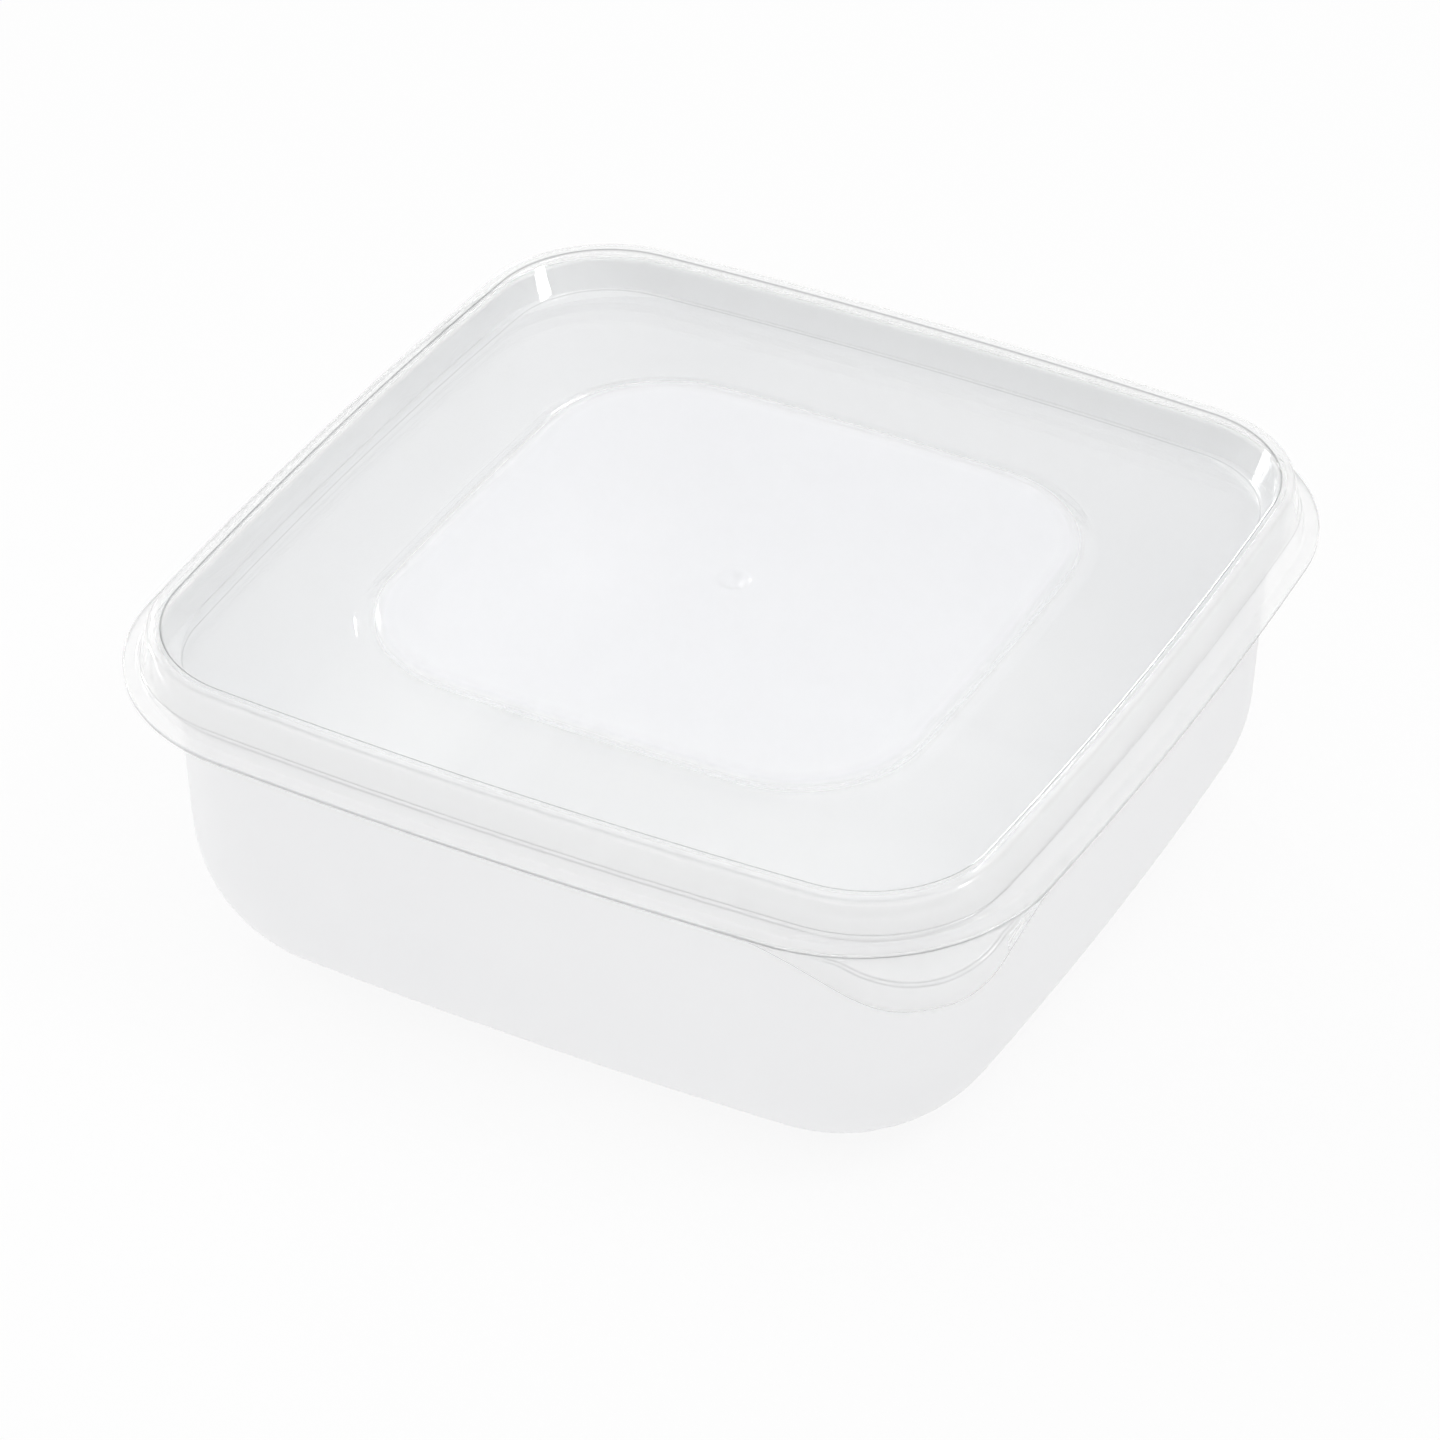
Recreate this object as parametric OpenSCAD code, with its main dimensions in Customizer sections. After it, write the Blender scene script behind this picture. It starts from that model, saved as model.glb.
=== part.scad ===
// Square food storage box with bowed sides, rounded corners and a press-on lid.
// The lid has a sunk top with a raised middle, a folded rim that drops over the
// container's rim, a flat lip, and a finger tab on two opposite corners.
// Millimetres, +Z up, origin under the middle of the container's foot.

/* [Box] */
// Width of the lid across its lip, the widest part of the box
lid_w = 160; // [150:1:190]
// Radius of the bow of the sides, to the nearest few millimetres
side_curve_r = 927; // [700:1:930]
// Height of the container, from its foot to the top of its rim
box_h = 61; // [48:1:85]

/* [Container] */
// Thickness of the container's wall
box_wall = 1.1; // [0.8:0.05:1.3]
// How much thicker the floor is than the wall
floor_extra = 0.4; // [0.2:0.1:1.5]
// Corner radius of the wall where it meets the rim
box_corner_r = 30.3; // [29:0.1:34]
// Lean of the wall from upright, in degrees
wall_draft = 2.6; // [1:0.1:4]
// Corner radius of the flat of the base, left by the round that runs up to the wall
base_corner_r = 2.5; // [0.5:0.1:6]
// Width of the flat ring that the container stands on
foot_ring_w = 5; // [3:0.5:10]
// Corner radius of the sunk middle of the base
foot_corner_r = 12; // [6:0.5:20]
// How far the middle of the base is sunk
foot_rise = 0.5; // [0.2:0.1:0.6]
// Width of the moulding gate's dimple under the base
base_gate_d = 5; // [2:0.1:8]
// Depth of that dimple
base_gate_depth = 0.25; // [0.1:0.05:0.3]
// How far the bead round the rim stands out
rim_bead = 0.35; // [0.2:0.05:0.7]
// Height of that bead
rim_bead_h = 1.4; // [0.8:0.1:1.8]
// Chamfer along the two top edges of the rim
rim_chamfer = 0.2; // [0.1:0.05:0.3]
// Step out from the wall to the rim
rim_step = 0.15; // [0.1:0.05:0.3]

/* [Lid] */
// Thickness of the lid's walls
lid_wall = 0.95; // [0.7:0.05:1.1]
// Thickness of the lid's top
panel_t = 1.1; // [0.8:0.05:1.3]
// Thickness of the lid over the container's rim
crest_t = 2; // [1.5:0.1:2.5]
// Width of the crest, the highest ring of the lid
crest_w = 2.6; // [2.4:0.05:3]
// Radius of the crest's two edges
crest_round_r = 1.15; // [0.4:0.05:1.3]
// Corner radius along the inside of the crest
crest_corner_r = 20.4; // [18:0.1:24]
// Depth of the lid's sunk top below the crest
recess_depth = 6.4; // [6:0.1:7.5]
// How far the wall of the sunk top leans in over that depth
plug_run = 2.6; // [2.2:0.1:3]
// Radius of the fillet at the foot of that wall
recess_fillet_r = 0.8; // [0.3:0.1:1.2]
// How far the rim leans out between the crest and the crease
skirt_run = 1.2; // [0.8:0.1:1.6]
// Depth of the crease below the crest
crease_drop = 5.6; // [5:0.1:6.2]
// How far the lip reaches out from the inside of the crest
lip_reach = 8; // [7.4:0.1:9]
// Width of the flat of the lip
lip_w = 2.2; // [1.6:0.1:2.6]
// Thickness of the lip
lip_t = 1.05; // [0.8:0.05:1.3]
// Depth of the lip's underside below the crest
lip_drop = 8.05; // [7.8:0.05:8.6]
// Corner radius of the lip where it has no tab
lip_corner_r = 33; // [31:0.1:36]
// Height of the snap bead inside the lid's rim
snap_h = 1.3; // [0.8:0.1:1.5]

/* [Raised middle of the lid] */
// Width of the raised middle along its top edge
stage_w = 94.4; // [70:0.2:110]
// Corner radius of its top edge
stage_corner_r = 21.5; // [12:0.5:30]
// Height of the raised middle above the sunk top
stage_rise = 1.4; // [0.6:0.1:2.2]
// How far its edge slopes out over that height
stage_run = 3.3; // [2.6:0.1:4.5]
// Radius of the soft bends at the top and the foot of that slope
stage_round_r = 4.5; // [0.5:0.1:5]
// Width of the moulding gate's dimple
gate_d = 6; // [2:0.1:8]
// Depth of that dimple
gate_depth = 0.35; // [0.1:0.05:0.5]
// How far the dimple lies off the middle, towards the tab at +X, -Y
gate_off = 2.2; // [0:0.1:3]

/* [Finger tabs] */
// Corner radius of the lip where it carries a tab
tab_corner_r = 19.6; // [16:0.2:26]
// Half the length of a tab, measured across the corner
tab_half_l = 28; // [22:0.5:30]
// Half the length over which a tab keeps its full depth
tab_flat_half_l = 3; // [1:0.5:8]
// How far a tab hangs below the lip
tab_drop = 7.2; // [4:0.1:10]
// Fall of the tab's top from the lip outwards, in degrees
tab_slope = 30; // [15:1:40]
// Step down from the lip's top to the tab's top
tab_step = 0.7; // [0.3:0.05:0.9]
// Step in from the lip's edge to the tab's edge, where they run side by side
tab_inset = 0.15; // [0.1:0.05:0.3]

/* [Fit] */
// Clearance between lid and container, apart from the flat seat on the rim
fit_gap = 0.3; // [0.2:0.05:0.4]

/* [Hidden] */
grid = 0.001;
corner_fn = 48;
side_fn = 270;
gate_fn = 48;
round_steps = 11;
edge_steps = 4;
fillet_steps = 3;
stage_steps = 3;
tab_steps = 28;
overrun = 1;
overlap = 3;
snap_slope_share = 0.5;
cut_share = 0.4;
seam_share = 1.1;
block_share = 0.5;
tab_sink_share = 0.2;
slope_in_share = 0.6;

// Heights
crest_z = box_h + crest_t;
panel_z = crest_z - recess_depth;
under_z = panel_z - panel_t;
crease_z = crest_z - crease_drop;
lip_z = crest_z - lip_drop;
lip_top_z = lip_z + lip_t;
stage_z = panel_z + stage_rise;
stage_under_z = stage_z - panel_t;
snap_top_z = lip_z + snap_h;
snap_slope_z = snap_top_z + snap_h * snap_slope_share;
tab_z = lip_z - tab_drop;
tab_top_z = lip_top_z - tab_sink_share * lip_t;
ledge_top_z = under_z - fit_gap;
ledge_z = ledge_top_z - box_wall;
floor_t = box_wall + floor_extra;
bead_z = snap_top_z + fit_gap + rim_bead;
bead_top_z = bead_z + rim_bead_h;

// Half widths, all measured from the middle of the box to the middle of a side
crest_half = lid_w / 2 - lip_reach;
lip_half = lid_w / 2;
crease_half = crest_half + crest_w + skirt_run;
stage_half = stage_w / 2;
tab_edge_half = lip_half - tab_inset;

// Faces of the folded rim at a height: the outside of the rim, the wall of the
// sunk top, and the two faces of the groove between them
skirt_slope = skirt_run / crease_drop;
plug_slope = plug_run / recess_depth;
skirt_slant = sqrt(1 + pow(skirt_slope, 2));
plug_slant = sqrt(1 + pow(plug_slope, 2));
function skirt_half(z) = crest_half + crest_w + skirt_slope * (crest_z - z);
function plug_half(z) = crest_half - plug_slope * (crest_z - z);
function groove_out(z) = skirt_half(z) - lid_wall * skirt_slant;
function groove_in(z) = plug_half(z) + lid_wall * plug_slant;

// The container's rim stands in the groove, clear of both faces
bead_half = groove_out(box_h) - fit_gap;
rim_half = bead_half - rim_bead;
snap_half = bead_half + fit_gap;
wall_across = box_wall / cos(wall_draft);
wall_half = rim_half - rim_step;
wall_in_half = wall_half + box_wall * tan(wall_draft) - wall_across;
rim_in_half = wall_in_half + rim_step;
rim_top_in_half = max(rim_in_half + rim_chamfer, groove_in(box_h) + fit_gap);
ledge_in_half = rim_half - box_corner_r + crest_corner_r;

// Every outline is a rounded square with bowed sides. A side's bow centre, the
// corner centre and the seam between side and corner lie on a right triangle
// with the whole-number sides 2m, m * m - 1 and m * m + 1, times s. That puts
// them all on the grid, so that neighbouring pieces share their end faces
// exactly. An outline is held as [m, s] and keeps its centres when it is offset.
function snap(v) = round(v / grid) * grid;
function outline(half, corner_r) = let (
    core = half - corner_r,
    k = (side_curve_r - half) / core,
    m = round(1 + k + sqrt(pow(1 + k, 2) + 1 + 2 * k)))
    [m, snap(core / (2 * (m + 1)))];
function core_of(o) = 2 * (o[0] + 1) * o[1];
function centre_of(o) = 2 * o[0] * o[1];
function bow_of(o) = (pow(o[0], 2) - 2 * o[0] - 1) * o[1];
function seam(o, size) = [2 * o[0], 1 - pow(o[0], 2)] * snap(size / (pow(o[0], 2) - 1));
function seam_turn(o) = ceil(atan2(2 * o[0], pow(o[0], 2) - 1)) + 1;
function corner_reach(o, half) = centre_of(o) * sqrt(2) + half - core_of(o);

crest_line = outline(crest_half, crest_corner_r);
lip_line = outline(lip_half, lip_corner_r);
tab_line = outline(tab_edge_half, tab_corner_r);
wall_line = outline(wall_half, box_corner_r);
stage_line = outline(stage_half, stage_corner_r);

// Points of an arc in the section plane
function arc(centre, r, from, to, steps) =
    [for (i = [0 : steps]) let (a = from + (to - from) * i / steps) centre + r * [cos(a), sin(a)]];

// Keeps the part of a turned section between two seams
module between(seams) {
    intersection() {
        children();
        translate([0, 0, -crest_z]) linear_extrude(height = 3 * crest_z) polygon(concat([[0, 0]], seams));
    }
}

// Turns a section of [half width, height] points about the outline's four
// corner centres, and about the centres of its four bows
module corners(o, section) {
    away = seam(o, lip_half);
    for (k = [0 : 3]) rotate([0, 0, 90 * k])
        translate([centre_of(o), -centre_of(o), 0])
            between([away, [-away[1], -away[0]]])
                rotate([0, 0, -90]) rotate_extrude(angle = 90, $fn = corner_fn)
                    polygon([for (p = section) [snap(p[0]) - core_of(o), snap(p[1])]]);
}

module sides(o, section) {
    away = seam(o, (centre_of(o) + bow_of(o)) * seam_share);
    for (k = [0 : 3]) rotate([0, 0, 90 * k])
        translate([0, bow_of(o), 0])
            between([away, [-away[0], away[1]]])
                rotate([0, 0, -90]) rotate_extrude(start = -seam_turn(o), angle = 2 * seam_turn(o), $fn = side_fn)
                    polygon([for (p = section) [snap(p[0]) + bow_of(o), snap(p[1])]]);
}

// A ring round the outline
module sweep(o, section) {
    corners(o, section);
    sides(o, section);
}

// A solid with that outline. Its edge is a section from the bottom to the top. The
// block in its middle reaches past the corner centres, into the corners.
module slab(o, edge) {
    c = centre_of(o);
    block = snap(c + block_share * (min([for (p = edge) p[0]]) - core_of(o)));
    low = edge[0][1];
    high = edge[len(edge) - 1][1];
    corners(o, concat([[core_of(o), low]], edge, [[core_of(o), high]]));
    sides(o, concat([[c - overlap, low]], edge, [[c - overlap, high]]));
    translate([-block, -block, snap(low)]) cube([2 * block, 2 * block, snap(high) - snap(low)]);
}

// The container's wall with its round to the base, outside and inside. The round
// has the radius that joins the leaning wall to the flat of the base.
base_half = core_of(wall_line) + base_corner_r;
base_round_r = (wall_half - ledge_z * tan(wall_draft) - base_half)
    / (cos(wall_draft) - tan(wall_draft) * (1 - sin(wall_draft)));
inner_round_r = base_round_r - box_wall;
floor_angle = asin((base_round_r - floor_t) / inner_round_r);
foot_half = base_half - foot_ring_w;
foot_line = outline(foot_half, foot_corner_r);
function dish_r(d, depth) = (pow(d / 2, 2) + pow(depth, 2)) / (2 * depth);
base_gate_r = dish_r(base_gate_d, base_gate_depth);

wall_outside = concat(
    arc([base_half, base_round_r], base_round_r, -90, -wall_draft, round_steps),
    [[wall_half, ledge_z]]);
wall_inside = concat(
    arc([base_half, base_round_r], inner_round_r, -floor_angle, -wall_draft, round_steps),
    [[wall_in_half, ledge_top_z], [wall_in_half - overrun, ledge_top_z + overrun]]);

// The rim follows the lid's crest, whose corners are sharper than the wall's,
// so it stands on a ledge that widens in the corners
rim_section = [
    [ledge_in_half, ledge_z],
    [rim_half, ledge_z],
    [rim_half, bead_z - rim_bead],
    [bead_half, bead_z],
    [bead_half, bead_top_z],
    [rim_half, bead_top_z + rim_bead],
    [rim_half, box_h - rim_chamfer],
    [rim_half - rim_chamfer, box_h],
    [rim_top_in_half, box_h],
    [rim_in_half, box_h - (rim_top_in_half - rim_in_half) / plug_slope],
    [rim_in_half, ledge_top_z],
    [ledge_in_half, ledge_top_z]];

module container() {
    color("gainsboro") difference() {
        union() {
            slab(wall_line, wall_outside);
            sweep(crest_line, rim_section);
        }
        slab(wall_line, wall_inside);
        slab(foot_line, [[foot_half, -overrun], [foot_half, foot_rise]]);
        translate([0, 0, foot_rise + base_gate_depth - base_gate_r]) sphere(r = base_gate_r, $fn = gate_fn);
    }
}

// Wall of the sunk top, crest and rim of the lid, folded round the groove
crest_in_turn = atan(plug_slope);
crest_out_turn = atan(skirt_slope);
panel_root_half = plug_half(panel_z) - overlap;
panel_half = panel_root_half + overlap / 2;
lid_section = concat(
    [[panel_root_half, panel_z]],
    arc([plug_half(panel_z) - recess_fillet_r * (plug_slant - plug_slope), panel_z + recess_fillet_r],
        recess_fillet_r, -90, -crest_in_turn, fillet_steps),
    arc([plug_half(crest_z) + crest_round_r * (plug_slant - plug_slope), crest_z - crest_round_r],
        crest_round_r, 180 - crest_in_turn, 90, edge_steps),
    arc([skirt_half(crest_z) - crest_round_r * (skirt_slant - skirt_slope), crest_z - crest_round_r],
        crest_round_r, 90, crest_out_turn, edge_steps),
    [
        [skirt_half(lip_z), lip_z],
        [snap_half, lip_z],
        [snap_half, snap_top_z],
        [groove_out(snap_slope_z), snap_slope_z],
        [groove_out(box_h), box_h],
        [groove_in(box_h), box_h],
        [groove_in(under_z), under_z],
        [panel_root_half, under_z]]);

// The lip and the soft slope that runs up from it, through the rim's outer
// face at the crease and on into the wall
lip_root_half = crease_half - overlap;
slope_in = lid_wall * slope_in_share;
slope_fall = (crease_z - lip_top_z) / (lip_half - lip_w - crease_half);
lip_section = [
    [lip_root_half, lip_z],
    [lip_half, lip_z],
    [lip_half, lip_top_z],
    [lip_half - lip_w, lip_top_z],
    [crease_half - slope_in, crease_z + slope_in * slope_fall],
    [lip_root_half, crease_z + slope_in * slope_fall]];

// A tab squares off the lip's corner. Its top falls outwards and its edge is
// turned down along an S-shaped line. Built on the corner at +X, -Y, in a frame
// turned so that X runs out along the diagonal.
lip_corner_out = corner_reach(lip_line, lip_half);
tab_depth = corner_reach(tab_line, tab_edge_half) - lip_corner_out + overlap + lip_drop;
tab_sink = lip_t * tab_sink_share;
function tab_low(a) = lip_z + tab_sink - (tab_drop + tab_sink) * (1 + cos(180 * min(max(
    (abs(a) - tab_flat_half_l) / (tab_half_l - tab_flat_half_l), 0), 1))) / 2;

// The layer of a given thickness under the tab's sloping top
module under_tab_top(thick) {
    rotate([0, 0, -45]) translate([lip_corner_out, 0, lip_top_z - tab_step]) rotate([0, tab_slope, 0])
        translate([-tab_depth * 2, -tab_half_l, -thick]) cube([tab_depth * 4, tab_half_l * 2, thick]);
}

module tab() {
    intersection() {
        union() {
            intersection() {
                slab(tab_line, [[tab_edge_half, tab_z], [tab_edge_half, tab_top_z]]);
                under_tab_top(lip_t);
            }
            intersection() {
                sweep(tab_line, [[tab_edge_half - lip_t, tab_z], [tab_edge_half, tab_z],
                    [tab_edge_half, tab_top_z], [tab_edge_half - lip_t, tab_top_z]]);
                under_tab_top(tab_depth * 2);
            }
        }
        rotate([0, 0, -45]) translate([lip_corner_out - tab_depth, 0, 0]) rotate([90, 0, 90])
            linear_extrude(height = tab_depth * 2)
                polygon(concat(
                    [for (i = [0 : tab_steps]) let (a = tab_half_l * (2 * i / tab_steps - 1)) [a, tab_low(a)]],
                    [[tab_half_l, tab_top_z], [-tab_half_l, tab_top_z]]));
    }
}

// The raised middle and the hollow that follows it underneath
stage_slope = stage_rise / stage_run;
stage_inset = panel_t * (sqrt(1 + pow(stage_slope, 2)) - 1) / stage_slope;
stage_turn = atan(stage_slope);
stage_bend = stage_round_r * tan(stage_turn / 2);
stage_section = concat(
    arc([stage_half + stage_run + stage_bend, panel_z + stage_round_r],
        stage_round_r, -90, -90 - stage_turn, stage_steps),
    arc([stage_half - stage_bend, stage_z - stage_round_r],
        stage_round_r, 90 - stage_turn, 90, stage_steps));
stage_hollow = [
    [stage_half + stage_run - stage_inset, under_z - overrun],
    [stage_half + stage_run - stage_inset, under_z],
    [stage_half - stage_inset, stage_under_z]];
gate_r = dish_r(gate_d, gate_depth);
lip_cut_half = crease_half - lid_wall * cut_share;

module lid() {
    color("lightsteelblue") difference() {
        union() {
            sweep(crest_line, lid_section);
            slab(crest_line, [[panel_half, under_z], [panel_half, panel_z]]);
            slab(stage_line, stage_section);
            difference() {
                union() {
                    sweep(lip_line, lip_section);
                    for (k = [0, 1]) rotate([0, 0, 180 * k]) tab();
                }
                slab(crest_line, [[lip_cut_half, tab_z - overrun], [lip_cut_half, crease_z + overrun]]);
            }
        }
        slab(stage_line, stage_hollow);
        rotate([0, 0, -45]) translate([gate_off, 0, stage_z + gate_r - gate_depth])
            sphere(r = gate_r, $fn = gate_fn);
    }
}

container();
lid();
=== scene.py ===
"""Looks of a square food storage box: a milky container with a clear press-on lid.

Both mouldings are surfaces worked out on grids. Across runs a section, along runs
the outline of the box. Lengths are millimetres until a mesh is made.
"""
import bpy
import numpy as np
from mathutils import Matrix


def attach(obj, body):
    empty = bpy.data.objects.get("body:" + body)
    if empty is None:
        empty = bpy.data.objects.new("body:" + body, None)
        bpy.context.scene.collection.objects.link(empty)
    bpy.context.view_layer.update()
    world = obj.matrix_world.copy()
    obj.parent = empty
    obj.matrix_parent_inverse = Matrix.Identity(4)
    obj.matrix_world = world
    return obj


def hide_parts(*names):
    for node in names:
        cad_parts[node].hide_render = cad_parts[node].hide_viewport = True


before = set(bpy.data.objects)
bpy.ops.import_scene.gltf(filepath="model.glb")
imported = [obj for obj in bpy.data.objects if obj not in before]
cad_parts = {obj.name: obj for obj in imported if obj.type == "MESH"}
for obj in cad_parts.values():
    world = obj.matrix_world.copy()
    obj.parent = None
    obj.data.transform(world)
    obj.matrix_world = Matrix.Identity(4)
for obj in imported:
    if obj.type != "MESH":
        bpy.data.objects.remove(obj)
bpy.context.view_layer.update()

# One millimetre in metres
MM = 0.001

# Outlines of the box as [m, s], from the part's source
CREST = (36, 0.697)
WALL = (43, 0.488)
LIP = (39, 0.588)
TAB = (31, 0.941)
STAGE = (71, 0.178)
FOOT = (65, 0.215)

# Marks along each bowed side and each round corner, and how strongly the sides'
# marks crowd towards the corners
SIDE_MARKS = 36
CORNER_MARKS = 36
CROWDING = 0.6

# A round in a section: its steps, the gap to the flat row on either side, and the
# most of a leg that the round and that gap may take
ROUND_STEPS = 4
FLAT_GAP = 0.22
ROUND_SHARE = 0.46
GAP_SHARE = 0.1

# Heights, from the part's source
CREST_Z, PANEL_Z, STAGE_Z, UNDER_Z, SEAT_Z = 63.0, 56.6, 58.0, 55.5, 61.0
CREASE_Z, LIP_TOP_Z, LIP_Z = 57.4, 56.0, 54.95
SNAP_TOP_Z, SNAP_SLOPE_Z = 56.25, 56.9
LEDGE_Z, LEDGE_TOP_Z = 54.1, 55.2
BEAD_Z, BEAD_TOP_Z = 56.9, 58.3

# Half widths, thicknesses and slopes of the lid, from the part's source
CREST_IN, CREST_OUT, SNAP_HALF = 72.0, 74.6, 74.057
LIP_HALF, LIP_FLAT_HALF, TAB_HALF = 80.0, 77.8, 79.85
STAGE_HALF, STAGE_RUN = 47.2, 3.3
LID_WALL, PANEL_T = 0.95, 1.1
SKIRT_SLOPE, PLUG_SLOPE = 1.2 / 5.6, 2.6 / 6.4

# The raised middle's flat, its soft bends above and below, and the gate's dish
STAGE_FLAT = 44.0
STAGE_BEND, STAGE_FOOT_BEND = 6.5, 2.5
GATE = (1.556, -1.556)
GATE_R, GATE_DEPTH = 3.2, 0.7

# Where the milky veil of the raised middle ends, and where the rim's haze starts
VEIL_END, VEIL_FADE = 48.4, 3
HAZE_START, HAZE_FADE = 72.5, 1
TAB_HAZE = 0.8

# A finger tab: half its length, half of what keeps the full depth, and the run of
# the S-shaped edge on either side
TAB_HALF_L, TAB_FLAT_HALF_L, TAB_RUN = 27.9, 3, 25
TAB_COLUMNS = 125

# How far its edge hangs below the lip, how far its ends stay above, its thickness,
# and the rounds of its upper edge and of its foot
TAB_DROP, TAB_SINK, TAB_T = 7.2, 0.21, 1.05
TAB_ROUND, TAB_FOOT_ROUND, TAB_FOOT_ROUND_IN = 0.55, 0.4, 0.35

# The fall of its top, its greatest height, its height at the lip's corner, and how
# far out on the diagonal that corner lies
TAB_SLOPE = np.tan(np.radians(30))
TAB_TOP_Z, TAB_CORNER_Z, LIP_CORNER_OUT = 55.79, 55.3, 97.82

# Depth of the edge at which its painted dark lines (painted shade) start, and over which they come up
TAB_PAINTED_LINE_DEPTH = 2.5

# The container: its wall, the floor and their round, the foot ring, the base's gate
# dish, and the bead and the step on its rim
LEAN = 2.6
WALL_HALF, WALL_IN_HALF = 73.257, 72.206
RIM_HALF, BEAD_HALF, RIM_STEP_HALF, RIM_IN_HALF = 73.407, 73.757, 72.556, 72.356
BASE_HALF, BASE_ROUND_R, WALL_T, FLOOR_EXTRA = 45.444, 26.534, 1.1, 0.4
FOOT_IN_HALF, FOOT_HALF, FOOT_EDGE_HALF, FOOT_OUT_HALF = 34.0, 40.444, 40.9, 44.6
FOOT_RISE, FLOOR_Z = 0.5, 1.5
BASE_GATE_R, BASE_GATE_DEPTH = 2.5, 0.25
BEAD_RUN, RIM_STEP = 0.35, 0.49
BOWL_STEPS = 23


def columns():
    """Marks round the box. Each quarter is a bowed side, then a round corner. A mark
    holds its quarter, whether it is on the corner, and its share along that arc. The
    sides' marks crowd towards the corners: share - 0.6 sin(2 pi share) / (2 pi)."""
    side = np.arange(SIDE_MARKS) / SIDE_MARKS
    side = side - CROWDING * np.sin(2 * np.pi * side) / (2 * np.pi)
    corner = np.arange(CORNER_MARKS) / CORNER_MARKS
    share = np.concatenate([side, corner])
    on_corner = np.concatenate([np.zeros(SIDE_MARKS), np.ones(CORNER_MARKS)])
    quarter = np.repeat(np.arange(4), len(share))
    return quarter, np.tile(on_corner, 4), np.tile(share, 4)


def outline(line, half, marks):
    """Points of a rounded square with bowed sides. At a turn a from the side's middle
    a point lies at centre + radius (sin a, -cos a). A side has its centre far across
    the box and radius half + bow, a corner has centre (c, -c) and radius half - core."""
    m, s = (np.asarray(v, float)[..., None] for v in line)
    half = np.asarray(half, float)[..., None]
    quarter, on_corner, share = marks
    core, centre, bow = 2 * (m + 1) * s, 2 * m * s, (m * m - 2 * m - 1) * s
    seam = np.arctan2(2 * m, m * m - 1)
    on_corner = on_corner > 0
    angle = np.where(on_corner, seam + share * (np.pi / 2 - 2 * seam), seam * (2 * share - 1))
    radius = np.where(on_corner, half - core, half + bow)
    x = np.where(on_corner, centre, 0) + radius * np.sin(angle)
    y = np.where(on_corner, -centre, bow) - radius * np.cos(angle)
    turn = quarter * np.pi / 2
    return np.stack([x * np.cos(turn) - y * np.sin(turn), x * np.sin(turn) + y * np.cos(turn)], -1)


def rounded(section):
    """Rows of a section whose corners are rounded. A row is m, s, half width, height
    and the strength of a painted dark line (painted shade along the bend), which rises
    to the corner's own value at the peak of its round. A corner is its outline, half
    width, height and radius, then that painted line's value and where in the round it
    peaks. A round runs from P - t in to P + t out as
    (1-k)^2 A + 2 k (1-k) P + k^2 B, with a flat row just before and after."""
    p = np.array([corner[1:3] for corner in section])
    rows = []
    for i, (line, half, height, radius, *painted_line) in enumerate(section):
        painted_line, top = (*painted_line, 0.5)[:2] if painted_line else (0, 0.5)
        if i in (0, len(section) - 1) or radius <= 0:
            rows.append((*line, half, height, painted_line))
            continue
        into, out = p[i] - p[i - 1], p[i + 1] - p[i]
        before, after = np.hypot(*into), np.hypot(*out)
        into, out = into / before, out / after
        bend = np.arccos(np.clip(into @ out, -1, 1))
        t = min(radius * np.tan(bend / 2), ROUND_SHARE * before, ROUND_SHARE * after)
        a, b = p[i] - t * into, p[i] + t * out
        gap = min(FLAT_GAP, GAP_SHARE * min(before, after))
        rows.append((*line, *(a - gap * into), 0))
        for k in np.linspace(0, 1, ROUND_STEPS + 1):
            # The row's painted dark line (painted shade) peaks inside the round
            peak = painted_line * min(k / top, (1 - k) / (1 - top))
            rows.append((*line, *((1 - k) ** 2 * a + 2 * k * (1 - k) * p[i] + k * k * b), peak))
        rows.append((*line, *(b + gap * out), 0))
    return np.array(rows, float)


def sweep(rows, marks):
    """Carries a section round the box: one point per row and mark."""
    plan = outline((rows[:, 0], rows[:, 1]), rows[:, 2], marks)
    height = np.broadcast_to(rows[:, 3, None], plan.shape[:2])
    return np.concatenate([plan, height[..., None]], -1)


def closing(edge, centre, shape, mix, radii):
    """Rows that close a flat inside a ring of points. A row lies at
    (1 - mix) edge + mix circle, where the circle has the row's radius round the
    centre, and shape gives the height at that radius."""
    round_it = np.arctan2(edge[:, 1], edge[:, 0])
    direction = np.stack([np.cos(round_it), np.sin(round_it)], -1)
    mix, radii = np.asarray(mix, float)[:, None, None], np.asarray(radii, float)
    circle = np.asarray(centre) + radii[:, None, None] * direction
    plan = (1 - mix) * edge[None, :, :2] + mix * circle
    height = np.broadcast_to(shape(radii)[:, None], plan.shape[:2])
    return np.concatenate([plan, height[..., None]], -1)


def level(z):
    """A flat at one height, as closing asks for it."""
    return lambda radii: np.full(len(radii), z)


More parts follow.
